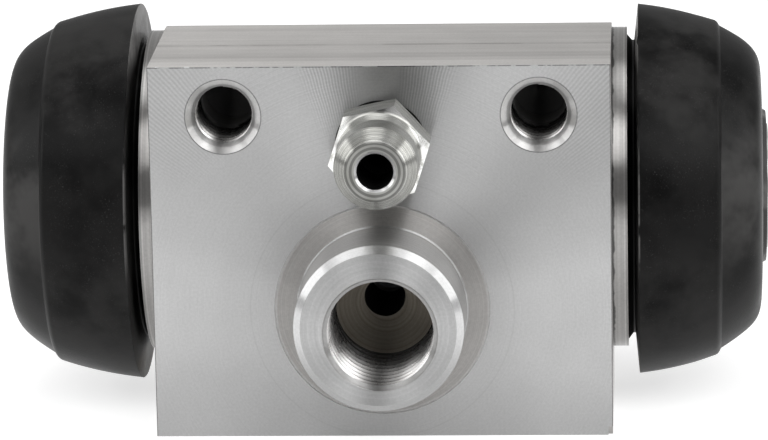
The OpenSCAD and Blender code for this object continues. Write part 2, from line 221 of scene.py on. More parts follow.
def body_places(f):
    """Place of a point on the body, and its offsets and distances from the axes."""
    p = SimpleNamespace()
    p.x, p.y, p.z = f.parts(f.point)
    p.nx, p.ny, p.nz = f.parts(f.normal)
    p.side_x = f.math("ABSOLUTE", p.x)
    p.from_boss = f.vector("LENGTH", f.joined(p.x, 0.0, p.z), out=1)
    p.from_top = f.math("ABSOLUTE", f.math("ARCTAN2", p.x, p.z))
    p.inlet_dx, p.inlet_dz, p.from_inlet = f.from_axis(p.x, HOLES_X, p.z, INLET_Z)
    p.axis_dy, p.axis_dz, p.from_cylinder = f.from_axis(p.y, AXIS_Y, p.z, AXIS_Z)
    mount_x = f.math("MULTIPLY_ADD", f.math("SIGN", p.x), MOUNT_X, HOLES_X)
    p.mount_dx, p.mount_dz, p.from_mount = f.from_axis(p.x, mount_x, p.z, MOUNT_Z)
    p.bleed_dx, p.bleed_dz, p.from_bleed = f.from_axis(p.x, HOLES_X, p.z, BLEED_Z)
    p.to_front = f.below(p.ny, -0.9)
    p.open_face = f.both(p.to_front, f.below(p.y, 0.05))
    p.on_top = f.both(f.above(p.nz, 0.9), f.above(p.z, TOP_Z - 0.3))
    return p


def turned_zones(f, p):
    """1 where the face, the boss, the ring round it, an end or the bore was turned."""
    hair, edge, foot, shallow = 0.01, 0.02, 0.2, 0.5
    chamfer_y, end_y = BOSS_CHAMFER - BOSS_LEN - hair, edge - BOSS_LEN
    over_ring = f.below(p.from_boss, RING_R + 0.05)
    on_boss = f.both(f.below(p.from_boss, BOSS_R + foot), f.below(p.y, RING_DEPTH - edge))
    in_bore = f.below(p.from_cylinder, BORE_R + edge)
    return SimpleNamespace(
        boss=on_boss,
        face=f.either(p.to_front, f.both(over_ring, f.below(p.y, shallow))),
        boss_side=f.both(on_boss, f.above(p.from_boss, BOSS_R - 0.12), f.above(p.y, chamfer_y)),
        boss_end=f.both(on_boss, f.below(p.y, end_y)),
        chamfer=f.both(on_boss, f.above(p.from_boss, BOSS_R - BOSS_CHAMFER - hair),
                       f.below(p.y, chamfer_y), f.above(p.y, end_y)),
        boss_foot=f.both(f.above(p.from_boss, BOSS_R + hair), f.below(p.from_boss, BOSS_R + foot),
                         f.above(p.y, -foot), f.below(p.y, RING_DEPTH - 0.005)),
        ring=f.both(over_ring, f.above(p.y, RING_DEPTH / 2), f.below(p.y, shallow)),
        ring_wall=f.both(f.above(p.from_boss, RING_R - 0.06), over_ring, f.above(p.y, 0.003),
                         f.below(p.y, RING_DEPTH - 0.003)),
        ends=f.either(f.above(p.side_x, BLOCK_X - edge), in_bore),
        bore=f.both(in_bore, f.below(p.side_x, 16.0)))


def hole_zones(f, p):
    """1 in the holes: countersinks, roots of the threads, floors and passages."""
    hair, mouth = 0.01, 0.002
    mount_sink, run_in_start, run_in_end, run_in_r = 0.36, 0.49, 1.5, 2.92
    inlet_sink = 0.7
    in_mount = f.both(f.below(p.from_mount, MOUNT_SINK_R + hair), f.above(p.y, mouth),
                      f.below(p.y, HOLES_END_Y))
    in_inlet = f.both(f.below(p.from_inlet, INLET_SINK_R - hair), f.below(p.y, 8.0))
    past_run_in = f.either(f.above(p.from_mount, MOUNT_R - 0.02), f.above(p.y, run_in_end))
    return SimpleNamespace(
        mount=in_mount,
        mount_root=f.both(in_mount, f.above(p.y, mount_sink), past_run_in),
        mount_run_in=f.both(in_mount, f.above(p.y, run_in_start), f.below(p.from_mount, run_in_r),
                            f.below(p.y, run_in_end)),
        bleed=f.both(f.below(p.from_bleed, BLEED_SINK_R + hair), f.above(p.y, mouth),
                     f.below(p.y, HOLES_END_Y)),
        inlet=in_inlet,
        inlet_root=f.both(in_inlet, f.above(p.y, inlet_sink - BOSS_LEN)),
        inlet_floor=f.both(in_inlet, f.above(p.y, INLET_DEPTH + hair)),
        passage=f.both(f.below(p.from_boss, PASSAGE_R + 0.05), f.above(p.y, INLET_DEPTH),
                       f.below(p.y, PASSAGE_END_Y)))


def brush_body(f, p, turned, hole):
    """Tool marks run along the drawn bar, and in circles on what was turned or drilled."""
    marks = f.mix_vector(turned.face, (1.0, 0.0, 0.0), f.around_y(p.x, p.z))
    marks = f.mix_vector(turned.ends, marks, f.around_x(p.axis_dy, p.axis_dz))
    marks = f.mix_vector(hole.mount, marks, f.around_y(p.mount_dx, p.mount_dz))
    marks = f.mix_vector(hole.bleed, marks, f.around_y(p.bleed_dx, p.bleed_dz))
    f.brush(f.mix_vector(hole.inlet, marks, f.around_y(p.inlet_dx, p.inlet_dz)))


def face_chatter(f, p):
    """Waves of a chattering tool on the open face, in a fan at its top and towards its upper corners."""
    waves_per_radian, fan_angle, corner_angle = 505.0, 0.2, 0.8
    wander = f.math("MULTIPLY", f.lines(p.from_boss, 0.35, detail=1.0), 3.0)
    waves = f.math("SINE", f.math("MULTIPLY_ADD", p.from_top, waves_per_radian, wander))
    corners = f.both(f.near(p.from_top, corner_angle, 0.05, 0.28), f.rise(p.from_boss, 18.0, 24.0), 0.09)
    fan = f.both(f.near(p.from_top, fan_angle, 0.05, 0.14), f.rise(p.from_boss, 15.0, 20.0), 0.16)
    return f.both(waves, f.math("ADD", corners, fan), p.open_face)


def body_marks(f, p, turned, hole):
    """Die lines along the drawn bar, and fine rings on what was turned."""
    drawn = f.noise(f.joined(f.math("MULTIPLY", p.x, 0.025), p.y, p.z), 1.3, 5.0, 0.62)
    fine_drawn = f.noise(f.joined(f.math("MULTIPLY", p.x, 0.07), p.y, p.z), 6.0, 3.0, 0.6)
    die_marks = f.math("MULTIPLY_ADD", fine_drawn, 0.35, f.math("MULTIPLY", drawn, 0.65))
    face_rings = f.lines(p.from_boss, 8.0, detail=2.0)
    boss_rings = f.lines(f.math("MULTIPLY_ADD", p.from_boss, 0.8, p.y), 4.0, detail=3.0)
    end_rings = f.lines(f.math("MULTIPLY_ADD", p.from_cylinder, 0.7, p.side_x), 4.0, detail=4.0)
    floor_rings = f.lines(p.from_inlet, 3.0, detail=2.0)
    marks = f.mix(turned.boss, f.mix(turned.face, die_marks, face_rings), boss_rings)
    marks = f.mix(turned.ends, marks, end_rings)
    return f.mix(hole.inlet_floor, marks, floor_rings)


def body_lines(f, p):
    """Shades of the top's bands and die line, painted shade along the face's ragged edges, a scribed circle,
    the mounting holes' edges and painted shade where the collars meet the block, ragged at its edge."""
    die_line_y, band_y, scribed_r = 9.6, 4.8, 11.8
    front_band = f.math("MULTIPLY", f.rise(p.y, 3.0, 2.0), 0.14)
    dark_bands = f.either(f.near(p.y, die_line_y, 0.1, 0.6), f.near(p.y, band_y, 0.7, 1.5))
    bands = f.math("ADD", front_band, f.math("MULTIPLY", dark_bands, -0.1))
    die_line = f.both(p.on_top, f.near(p.y, die_line_y, 0.04, 0.25),
                      f.rise(f.lines(p.x, 0.16, detail=3.0), 0.42, 0.56))
    ragged_edge_shade = f.rise(f.lines(p.x, 0.6, detail=3.0), 0.4, 0.52)
    at_edge = f.either(f.above(p.z, TOP_Z - 0.09), f.above(p.side_x, BLOCK_X - 0.07))
    scribed = f.both(f.near(p.from_boss, scribed_r, 0.0, 0.09), f.below(p.y, 0.05))
    mount_edge = f.both(p.open_face, f.near(p.from_mount, MOUNT_SINK_R + 0.03, 0.02, 0.1))
    ragged_shade_x = f.rise(f.noise(f.joined(0.0, p.y, p.z), 0.6, 2.0), 0.4, 0.7, BLOCK_X + 0.04, BLOCK_X + 0.2)
    collar_root_shade = f.both(f.above(p.side_x, BLOCK_X - 0.01),
                         f.rise(f.math("SUBTRACT", p.side_x, ragged_shade_x), 0.16, 0.0),
                         f.below(f.math("ABSOLUTE", p.nx), 0.5))
    # Painted shade: dark lines along the face's edges and where the collars meet the block
    return (f.math("MULTIPLY_ADD", p.on_top, bands, 1.0), f.dimmed(die_line, 0.3),
            f.dimmed(f.both(p.open_face, ragged_edge_shade, at_edge), 0.6), f.dimmed(scribed, 0.1),
            f.dimmed(mount_edge, 0.55), f.dimmed(collar_root_shade, 0.7))


def aluminium_finish():
    """Extruded bar with a turned face and boss, turned ends, drawn top and back, tapped holes."""
    f = Finish("bare_aluminium", Metallic=1.0, Anisotropic=1.0)
    p = body_places(f)
    turned, hole = turned_zones(f, p), hole_zones(f, p)
    brush_body(f, p, turned, hole)
    chatter = face_chatter(f, p)
    marks = body_marks(f, p, turned, hole)
    f.bump(f.math("MULTIPLY_ADD", chatter, 2.0, marks), 0.005, 0.35)

    clear_rings = f.both(f.near(p.from_top, 0.42, 0.12, 0.3), f.rise(p.from_boss, 10.0, 15.0))
    # Painted shade: the boss's chamfer is darker towards its lower half, grey 0.4 below against 0.66 above
    chamfer_shaded_tone = f.mix_colour(f.rise(p.z, -5.0, 0.0), grey(0.4), grey(0.66))
    # Painted light: the ring is lighter at its outer edge (grey 0.95) and its shallow wall is lighter too
    # (grey 0.9), hiding the shade along that wall
    ring_tone = f.mix_colour(f.near(p.from_boss, RING_R, 0.08, 0.3), grey(0.64, 0.025), grey(0.95, 0.01))
    # Colour, roughness and contrast of the marks: of the drawn bar, then of each zone laid over it
    tone, rough, contrast = grey(0.49, 0.025), 0.42, 0.55
    for zone, zone_tone, zone_rough, zone_contrast in (
            (turned.face, grey(0.51), 0.41, f.mix(clear_rings, 0.08, 0.22)),
            (turned.boss_end, grey(0.455), 0.42, 0.3),
            (turned.boss_side, grey(0.31, 0.015), 0.7, 0.55),
            (turned.chamfer, chamfer_shaded_tone, 0.36, 0.3),
            (turned.ring, ring_tone, 0.6, 0.2),
            (turned.ring_wall, grey(0.9), 0.7, 0.1),
            (turned.boss_foot, grey(0.5), 0.42, 0.1),
            (turned.ends, grey(0.5, 0.02), 0.36, 1.0),
            # Painted shade in the hollows: the bore, the bleed hole's gap, the roots of the mounting and
            # inlet threads and the passage are darkened; the bore and the bleed gap are partly dark with oil
            # as well
            (turned.bore, grey(0.06, 0.02), 0.4, 0.2),
            (hole.mount, grey(0.64, 0.01), 0.34, 0.2),
            (hole.mount_run_in, grey(0.5, 0.01), 0.32, 0.3),
            (hole.mount_root, grey(0.16, 0.02), 0.5, 0.2),
            (hole.bleed, grey(0.05, 0.02), 0.5, 0.1),
            (hole.inlet, grey(0.45, 0.01), 0.4, 0.2),
            (hole.inlet_root, grey(0.07, 0.02), 0.5, 0.2),
            (hole.inlet_floor, (0.42, 0.38, 0.32, 1.0), 0.75, 0.8),
            (hole.passage, grey(0.01), 0.6, 0.0)):
        tone = f.mix_colour(zone, tone, zone_tone)
        rough = f.mix(zone, rough, zone_rough)
        contrast = f.mix(zone, contrast, zone_contrast)

    cloud = f.noise(f.point, 0.12, 3.0)
    grain = f.noise(f.point, 4.5, 3.0, 0.65)
    shade = f.both(f.math("MULTIPLY_ADD", f.math("SUBTRACT", marks, 0.5), contrast, 1.0),
                   f.math("ADD", chatter, 1.0), f.rise(cloud, 0.25, 0.75, 0.95, 1.04),
                   f.rise(grain, 0.3, 0.7, 0.95, 1.05), *body_lines(f, p))
    # Painted glint: bright grey spots along the top's front edge at the left, where a burr stands
    burr_glint = f.both(p.on_top, f.below(p.y, 0.3), f.below(p.x, -16.0),
                  f.rise(f.lines(p.x, 1.1, detail=2.0), 0.6, 0.66))
    f.feed("Base Color", f.mix_colour(burr_glint, f.shaded(tone, shade), grey(0.9)))
    f.feed("Roughness", f.math("ADD", rough, f.rise(marks, 0.0, 1.0, 0.04, -0.04)))
    return f.material


# Other finishes

def thread_finish(name, hole_x, hole_z, crest_r, taper, mouth, dark):
    """Cut thread of a hole, or of a left and right hole: bright crests, with painted shade in the roots,
    along the hole's bottom and further in.
    """
    f = Finish(name, Metallic=1.0)
    x, y, z = f.parts(f.point)
    axis_x = f.math("MULTIPLY_ADD", f.math("SIGN", x), hole_x, HOLES_X)
    dx, dz, radius = f.from_axis(x, axis_x, z, hole_z)
    grain = f.noise(f.point, 1.2, 2.0)
    # Painted shade: darker along the bottom of the hole, deeper in the hole from the mouth to dark, and in
    # the roots between the ridges
    bottom = f.both(f.near(dx, 0.0, 0.25 * crest_r, 0.7 * crest_r), f.below(dz, 0.0), 0.85)
    crest_here = f.math("MULTIPLY_ADD", f.math("SUBTRACT", y, mouth), -taper, crest_r)
    root = f.rise(f.math("SUBTRACT", radius, crest_here), 0.03, 0.4)
    crest = f.mix_colour(f.rise(grain, 0.3, 0.7), grey(0.55, 0.02), grey(0.65, 0.01))
    f.feed("Base Color", f.painted(crest, (bottom, grey(0.08, 0.03)),
                                   (f.rise(y, mouth, dark, 0.0, 0.8), grey(0.06, 0.03)),
                                   (root, grey(0.04, 0.03))))
    f.feed("Roughness", f.rise(grain, 0.2, 0.8, 0.24, 0.32))
    return f.material


def zinc_finish():
    """Turned steel screw under thin zinc, with painted highlights on the hexagon's side bevels and painted
    shade on its upper bevel.
    """
    hexagon_r, tip_y, hole_chamfer = 3.75, -10.3, 0.22
    f = Finish("zinc_plated_steel", Metallic=1.0, Anisotropic=0.8)
    x, y, z = f.parts(f.point)
    ny = f.parts(f.normal)[1]
    dx, dz, radius = f.from_axis(x, HOLES_X, z, BLEED_Z)
    f.brush(f.around_y(dx, dz))
    grooves = f.lines(f.math("ADD", radius, y), 5.0, detail=3.0)
    patches = f.noise(f.point, 0.5, 3.0)
    highlight_breakup = f.noise(f.point, 1.6, 4.0, 0.65)

    aside = f.math("ABSOLUTE", dx)
    bevel = f.both(f.above(radius, hexagon_r), f.above(ny, -0.97), f.below(ny, -0.2))
    side_bevel = f.both(bevel, f.rise(aside, 2.2, 3.3))
    upper_bevel = f.both(bevel, f.above(dz, 2.0), f.rise(aside, 3.4, 2.0), f.rise(radius, 3.85, 4.1))
    # Painted light at the nipple's hole: a lighter ring on its edge as a highlight, and its inside painted
    # near black as shade
    hole_edge = f.both(f.below(radius, NIPPLE_HOLE_R + hole_chamfer), f.below(ny, -0.2))
    in_hole = f.below(radius, NIPPLE_HOLE_R + 0.02)
    tip = f.both(f.below(y, tip_y), f.above(radius, NIPPLE_HOLE_R + hole_chamfer))

    # Painted light: the hexagon's side bevels are painted near white as highlights, broken into patches, and
    # its upper bevel is painted dark as shade
    zinc = f.mix_colour(f.rise(patches, 0.3, 0.7), (0.39, 0.39, 0.365, 1.0), (0.47, 0.47, 0.45, 1.0))
    bevel_highlight = f.mix_colour(f.rise(highlight_breakup, 0.28, 0.52), (0.48, 0.48, 0.45, 1.0), (0.93, 0.93, 0.91, 1.0))
    colour = f.painted(zinc, (side_bevel, bevel_highlight), (f.math("MULTIPLY", upper_bevel, 0.88), grey(0.1)),
                       (hole_edge, grey(0.62)), (in_hole, grey(0.06)))
    tip_grooves = f.rise(f.math("SINE", f.math("MULTIPLY", radius, 14.0)), -0.4, 0.7, 0.5, 1.05)
    shade = f.mix(bevel, f.rise(grooves, 0.35, 0.65, 0.62, 1.06), 1.0)
    f.feed("Base Color", f.shaded(colour, f.mix(tip, shade, tip_grooves)))
    f.feed("Roughness", f.rise(grooves, 0.2, 0.8, 0.34, 0.25))
    f.bump(grooves, 0.012, 0.5)
    return f.material


def boot_rubber_finish(name, shine, clean, smudged, at_ends, at_middle):
    """Moulded black rubber, smudged and dusty, with painted sheen that goes with height, a painted highlight
    along the rim's torn edge, a paler hub, and a flange with a painted reflection at the top and stained at
    the bottom."""
    flange_r, stain_from, stain_full, sheen_from, sheen_full = 14.2, -6.0, -7.5, 19.5, 21.5
    f = Finish(name, Specular_IOR_Level=shine)
    x, y, z = f.parts(f.point)
    nx = f.parts(f.normal)[0]
    along = f.math("ABSOLUTE", x)
    radius = f.from_axis(y, AXIS_Y, z, AXIS_Z)[2]
    smudge = f.noise(f.point, 0.12, 4.0, 0.6)
    chalk = f.noise(f.point, 0.35, 4.0, 0.65)
    grain = f.noise(f.point, 7.0, 3.0, 0.6)

    # Painted sheen: the smudges' strength goes with height, so the dome is lighter at mid-height and the
    # skirt at its top and bottom
    amount = f.mix(f.near(z, AXIS_Z + 2.0, 2.0, 9.0), at_ends, at_middle)
    smudges_and_sheen = f.both(f.rise(smudge, 0.36, 0.64), amount)
    dust = f.both(f.rise(grain, 0.56, 0.8), f.rise(chalk, 0.38, 0.65))
    hub = f.both(f.above(along, BOOT_END + 0.05), f.below(radius, BOOT_HUB_R + 0.3))
    flange = f.both(f.below(f.math("MULTIPLY", nx, x), -8.0), f.above(radius, flange_r))
    # Painted highlight: a lighter, broken line along the rim's edge, around mid-height
    rim_highlight = f.both(f.near(along, BOOT_RIM_X + 0.03, 0.05, 0.13), f.above(radius, BOOT_RIM_R - 0.4),
                      f.near(z, 8.5, 3.0, 7.0), f.rise(chalk, 0.36, 0.5))

    patches = f.rise(chalk, 0.35, 0.6)
    # The hub is paler, in patches
    pale_hub = f.mix_colour(f.rise(smudge, 0.4, 0.6), grey(0.06, 0.02), grey(0.2, 0.02))
    stain = f.mix_colour(patches, (0.03, 0.025, 0.018, 1.0), (0.075, 0.062, 0.045, 1.0))
    # Painted reflection: the flange's upper part is painted a lighter grey, in patches
    top_flange_sheen = f.mix_colour(patches, grey(0.07, 0.02), grey(0.14, 0.02))
    f.feed("Base Color", f.painted(grey(clean), (smudges_and_sheen, grey(smudged, 0.02)), (dust, grey(0.05, 0.02)),
                                   (hub, pale_hub), (f.both(flange, f.rise(z, stain_from, stain_full)), stain),
                                   (f.both(flange, f.rise(z, sheen_from, sheen_full)), top_flange_sheen),
                                   (rim_highlight, grey(0.1, 0.02))))
    f.feed("Roughness", f.math("ADD", f.rise(smudge, 0.3, 0.7, 0.34, 0.48),
                               f.rise(grain, 0.3, 0.7, -0.03, 0.03)))
    f.bump(f.math("MULTIPLY_ADD", grain, 0.4, chalk), 0.04, 0.45)
    return f.material


def piston_finish():
    """Turned and anodised piston."""
    f = Finish("anodised_piston", Metallic=1.0, Anisotropic=0.5)
    x, y, z = f.parts(f.point)
    dy, dz, radius = f.from_axis(y, AXIS_Y, z, AXIS_Z)
    f.brush(f.around_x(dy, dz))
    grooves = f.lines(f.math("ADD", f.math("ABSOLUTE", x), radius), 6.0, detail=3.0)
    f.feed("Base Color", f.shaded(grey(0.68, 0.01), f.rise(grooves, 0.2, 0.8, 0.86, 1.05)))
    f.feed("Roughness", f.rise(grooves, 0.2, 0.8, 0.42, 0.32))
    f.bump(grooves, 0.01, 0.5)
    return f.material


def seal_rubber_finish():
    """Smooth black rubber of the cup seals."""
    f = Finish("seal_rubber", Specular_IOR_Level=0.5)
    film = f.noise(f.point, 0.5, 3.0)
    f.feed("Base Color", f.mix_colour(film, grey(0.012), grey(0.022)))
    f.feed("Roughness", f.rise(film, 0.2, 0.8, 0.3, 0.45))
    f.bump(f.noise(f.point, 5.0, 2.0), 0.01, 0.3)
    return f.material


def pressed_sheet_finish():
    """Passivated steel sheet of the cup expanders."""
    f = Finish("pressed_sheet", Metallic=1.0)
    stain = f.noise(f.point, 0.6, 4.0)
    f.feed("Base Color", f.mix_colour(stain, (0.42, 0.4, 0.3, 1.0), (0.58, 0.56, 0.5, 1.0)))
    f.feed("Roughness", f.rise(stain, 0.2, 0.8, 0.3, 0.42))
    f.bump(f.noise(f.point, 4.0, 3.0), 0.01, 0.4)
    return f.material


def spring_wire_finish():
    """Drawn spring wire."""
    f = Finish("spring_wire", Metallic=1.0)
    scale = f.noise(f.point, 1.2, 3.0)
    f.feed("Base Color", f.mix_colour(scale, grey(0.34), grey(0.5)))
    f.feed("Roughness", f.rise(scale, 0.2, 0.8, 0.28, 0.42))
    f.bump(scale, 0.01, 0.4)
    return f.material


def dress_node(node, finish):
    """Gives a CAD node its finish."""
    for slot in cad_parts[node].material_slots:
        slot.material = finish


def new_piece(name, mesh):
    piece = bpy.data.objects.new(name, mesh)
    bpy.context.scene.collection.objects.link(piece)
    return piece


# Boots

def bezier(points, t):
    while len(points) > 1:
        points = [a.lerp(b, t) for a, b in zip(points, points[1:])]
    return points[0]


def curve(points, steps):
    points = [Vector(p) for p in points]
    return [bezier(points, i / steps) for i in range(steps + 1)]


def rounded(outline, radius, steps=4):
    """Rounds the corners of a closed outline; points that turn by little stay as they are."""
    least_turn, longest_share = 25, 0.45
    result = []
    for i, point in enumerate(outline):
        before, after = outline[i - 1], outline[(i + 1) % len(outline)]
        to_before, to_after = before - point, after - point
        turn = math.degrees((point - before).angle(after - point))
        reach = min(radius, to_before.length * longest_share, to_after.length * longest_share)
        if turn < least_turn:
            result.append(point)
        else:
            start = point + to_before.normalized() * reach
            end = point + to_after.normalized() * reach
            result += [bezier([start, point, end], k / steps) for k in range(steps + 1)]
    return result


def boot_skin(out, wide, inset):
    """Skirt, and step with dome, as (radius, x) points, inset into the rubber."""
    rim = Vector((BOOT_RIM_R + wide - inset, BOOT_RIM_X + inset))
    shoulder = Vector((BOOT_SHOULDER_R + wide - inset, BOOT_SHOULDER_X + out - inset * 0.25))
    foot = shoulder + Vector((-BOOT_STEP, BOOT_STEP))
    end = Vector((BOOT_END_R + wide - inset / 2, BOOT_END + out - inset))
    reach, fall = end.y - foot.y, foot.x - end.x
    bulge, step_lean, dome_lean = Vector((0.4, 0)), Vector((-0.125, 0.667)), Vector((-0.53, 0.9))
    skirt = curve([rim, (rim + shoulder) / 2 + bulge, shoulder], 24)
    step = curve([shoulder, shoulder + BOOT_STEP * step_lean, foot], 6)
    dome = curve([foot, foot + reach * dome_lean, (foot.x - 0.53 * fall, end.y), end], 30)
    return skirt, step[1:] + dome[1:]


def boot_outline(out, wide):
    """Closed (radius, x) section of a boot."""
    hair, play, bead_back = 0.01, 0.1, 0.43
    end = BOOT_END + out
    hub_end = end + BOOT_HUB_HIGH
    flare = [(GROOVE_R + hair, COLLAR_X + hair), (BOOT_NECK_R + 0.55, COLLAR_X + hair),
             (BOOT_NECK_R, COLLAR_X + 0.45), (BOOT_NECK_R, COLLAR_X + 0.65)]
    nose = [(BOOT_HUB_R + BOOT_HUB_HIGH / 2, end), (BOOT_HUB_R, hub_end), (BOOT_NOSE_R, hub_end),
            (BOOT_NOSE_R, end - bead_back), (BOOT_BEAD_R, end - bead_back), (BOOT_BEAD_R, end - BOOT_WALL)]
    bead = [(BOOT_NECK_R, BOOT_RIM_X + BOOT_WALL), (LIP_R + play, GROOVE_X - play),
            (GROOVE_R + hair, GROOVE_X - play)]
    skirt, dome = boot_skin(out, wide, 0)
    inner_skirt, inner_dome = boot_skin(out, wide, BOOT_WALL)
    outline = flare + skirt + dome + nose + (inner_skirt + inner_dome)[::-1] + bead
    return [Vector(p) for p in outline]


def lathe(name, outline, place, segments=192):
    """Turns a closed (radius, along) outline; place gives the point for a radius, a distance along
    and an angle."""
    count = len(outline)
    points, faces = [], []
    for s in range(segments):
        angle = 2 * math.pi * s / segments
        points += [Vector(place(p.x, p.y, angle)) * MM for p in outline]
    for s in range(segments):
        here, there = s * count, (s + 1) % segments * count
        faces += [(here + i, here + (i + 1) % count, there + (i + 1) % count, there + i)
                  for i in range(count)]
    shape = bmesh.new()
    corners = [shape.verts.new(p) for p in points]
    for quad in faces:
        shape.faces.new([corners[i] for i in quad]).smooth = True
    bmesh.ops.recalc_face_normals(shape, faces=shape.faces)
    mesh = bpy.data.meshes.new(name)
    shape.to_mesh(mesh)
    shape.free()
    mesh.set_sharp_from_angle(angle=math.radians(40))
    return mesh


def make_boot(name, node, side, out, wide, sag, skirt_finish, dome_finish):
    """Boot as one turned skin, whose wide part hangs a little and whose rim keeps its torn flash.
    The right boot's rim also has a small nub."""
    nub_angle, nub_half, nub_high = -0.45, 0.035, 0.2
    flash_high, flash_waves = 0.09, 9
    rim_half, rim_from_r, rim_over = 0.12, 16.4, 0.5
    hang_from_r, hang_over = 13.5, 2.5
    dome_x = BOOT_SHOULDER_X + out + 0.55

    def place(radius, along, angle):
        hang = sag * min(max((radius - hang_from_r) / hang_over, 0), 1)
        on_rim = (max(1 - abs(along - BOOT_RIM_X) / rim_half, 0)
                  * min(max(radius - rim_from_r, 0) / rim_over, 1))
        round_rim = Vector((math.cos(angle) * flash_waves, math.sin(angle) * flash_waves, side * 3))
        flash = max(noise.noise(round_rim), 0)
        from_nub = abs((angle + math.pi) % (2 * math.pi) - math.pi - nub_angle)
        nub = max(1 - from_nub / nub_half, 0) if side > 0 else 0
        radius += flash_high * flash * on_rim
        along -= nub_high * nub * on_rim
        return side * along, AXIS_Y + radius * math.sin(angle), AXIS_Z + radius * math.cos(angle) - hang

    boot = new_piece(name, lathe(name, rounded(boot_outline(out, wide), 0.06), place))
    for finish in (skirt_finish, dome_finish):
        boot.data.materials.append(finish)
    for face in boot.data.polygons:
        face.material_index = int(abs(face.center.x) > dome_x * MM)
    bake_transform(boot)
    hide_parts(node)


# Threads and spring

def helix_tree(name, section):
    """Geometry Nodes: sweeps a wire or a ridge along a helix about Z, from a first to a last turn.
    The first and last of all turns have the closed pitch, those between them the open pitch."""
    tree = bpy.data.node_groups.new(name, "GeometryNodeTree")
    sizes = {}

    def socket(label, kind, direction="INPUT"):
        return tree.interface.new_socket(label, in_out=direction, socket_type="NodeSocket" + kind).identifier

    socket("Geometry", "Geometry")
    socket("Geometry", "Geometry", "OUTPUT")
    for label in ("First radius", "Last radius", "Closed pitch", "Open pitch", "All turns", "First turn",
                  "Last turn", "Section height", "Section width", "Tip width"):
        sizes[label] = socket(label, "Float")
    sizes["Finish"] = socket("Finish", "Material")
    sizes["Points"] = socket("Points", "Int")
    n = Nodes(tree)
    given = tree.nodes.new("NodeGroupInput").outputs
    line = n.add("GeometryNodeCurvePrimitiveLine")
    path = n.add("GeometryNodeResampleCurve", named={"Curve": line, "Count": given["Points"]})
    share = n.add("GeometryNodeSplineParameter")
    turn = n.mix(share, given["First turn"], given["Last turn"])
    inner = n.math("SUBTRACT", given["All turns"], 2.0)
    after = n.math("SUBTRACT", turn, n.math("SUBTRACT", given["All turns"], 1.0))
    closed = n.math("ADD", n.math("MINIMUM", turn, 1.0), n.math("MAXIMUM", after, 0.0))
    opened = n.math("MINIMUM", n.math("MAXIMUM", n.math("SUBTRACT", turn, 1.0), 0.0), inner)
    along = n.math("MULTIPLY_ADD", closed, given["Closed pitch"],
                   n.math("MULTIPLY", opened, given["Open pitch"]))
    angle = n.math("MULTIPLY", turn, 2 * math.pi)
    radius = n.mix(share, given["First radius"], given["Last radius"])
    place = n.joined(n.math("MULTIPLY", n.math("COSINE", angle), radius),
                     n.math("MULTIPLY", n.math("SINE", angle), radius), along)
    path = n.add("GeometryNodeSetPosition", named={"Geometry": path, "Position": place})
    path = n.add("GeometryNodeSetCurveNormal", path, mode="Z_UP")
    if section == "wire":
        profile = n.add("GeometryNodeCurvePrimitiveCircle", mode="RADIUS",
                        named={"Resolution": 12, "Radius": n.math("MULTIPLY", given["Section height"], 0.5)})
    else:
        profile = n.add("GeometryNodeCurvePrimitiveQuadrilateral", mode="TRAPEZOID",
                        named={"Height": given["Section height"], "Bottom Width": given["Section width"],
                               "Top Width": given["Tip width"], "Offset": 0.0})
        profile = n.add("GeometryNodeTransform",
                        named={"Geometry": profile, "Rotation": (0.0, 0.0, math.pi / 2)})
    swept = n.add("GeometryNodeCurveToMesh",
                  named={"Curve": path, "Profile Curve": profile, "Fill Caps": True})
    swept = n.add("GeometryNodeRealizeInstances", swept)
    swept = n.add("GeometryNodeSetMaterial", named={"Geometry": swept, "Material": given["Finish"]})
    n.put(tree.nodes.new("NodeGroupOutput").inputs[0], swept)
    return tree, sizes


def sweep_helix(name, tree_and_sizes, placement, **values):
    """A helix as a plain mesh, moved by placement."""
    tree, sizes = tree_and_sizes
    piece = new_piece(name, bpy.data.meshes.new(name))
    modifier = piece.modifiers.new("helix", "NODES")
    modifier.node_group = tree
    for size, value in values.items():
        modifier[sizes[size.replace("_", " ")]] = value
    mesh = bpy.data.meshes.new_from_object(piece.evaluated_get(bpy.context.evaluated_depsgraph_get()))
    piece.modifiers.clear()
    piece.data = mesh
    mesh.transform(placement)
    mesh.polygons.foreach_set("use_smooth", [True] * len(mesh.polygons))
    mesh.set_sharp_from_angle(angle=math.radians(40))
    mesh.update()
    return piece


def into_body(x, y, z):
    """Places a helix about Z in a hole: it starts at the mouth's upper side and runs into the body."""
    return (Matrix.Translation((x * MM, y * MM, z * MM)) @ Matrix.Rotation(-math.pi / 2, 4, "X")
            @ Matrix.Rotation(-math.pi / 2, 4, "Z"))


def make_thread(name, tree, x, z, mouth, depth, crest_r, taper, height, finish):
    """Ridge of an internal thread, which stands out of the hole's wall."""
    tip_width, flank_spread, points_per_turn = 0.12, 1.62, 72
    length = depth - mouth
    turns = length / THREAD_PITCH
    middle_r = crest_r + height / 2
    ridge = sweep_helix(name, tree, into_body(x, mouth, z), First_radius=middle_r * MM,
                        Last_radius=(middle_r - taper * length) * MM, Closed_pitch=THREAD_PITCH * MM,
                        Open_pitch=THREAD_PITCH * MM, All_turns=turns + 2, First_turn=0.0, Last_turn=turns,
                        Section_height=height * MM, Section_width=(tip_width + flank_spread * height) * MM,
                        Tip_width=tip_width * MM, Finish=finish, Points=int(turns * points_per_turn))
    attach(ridge, "cylinder")


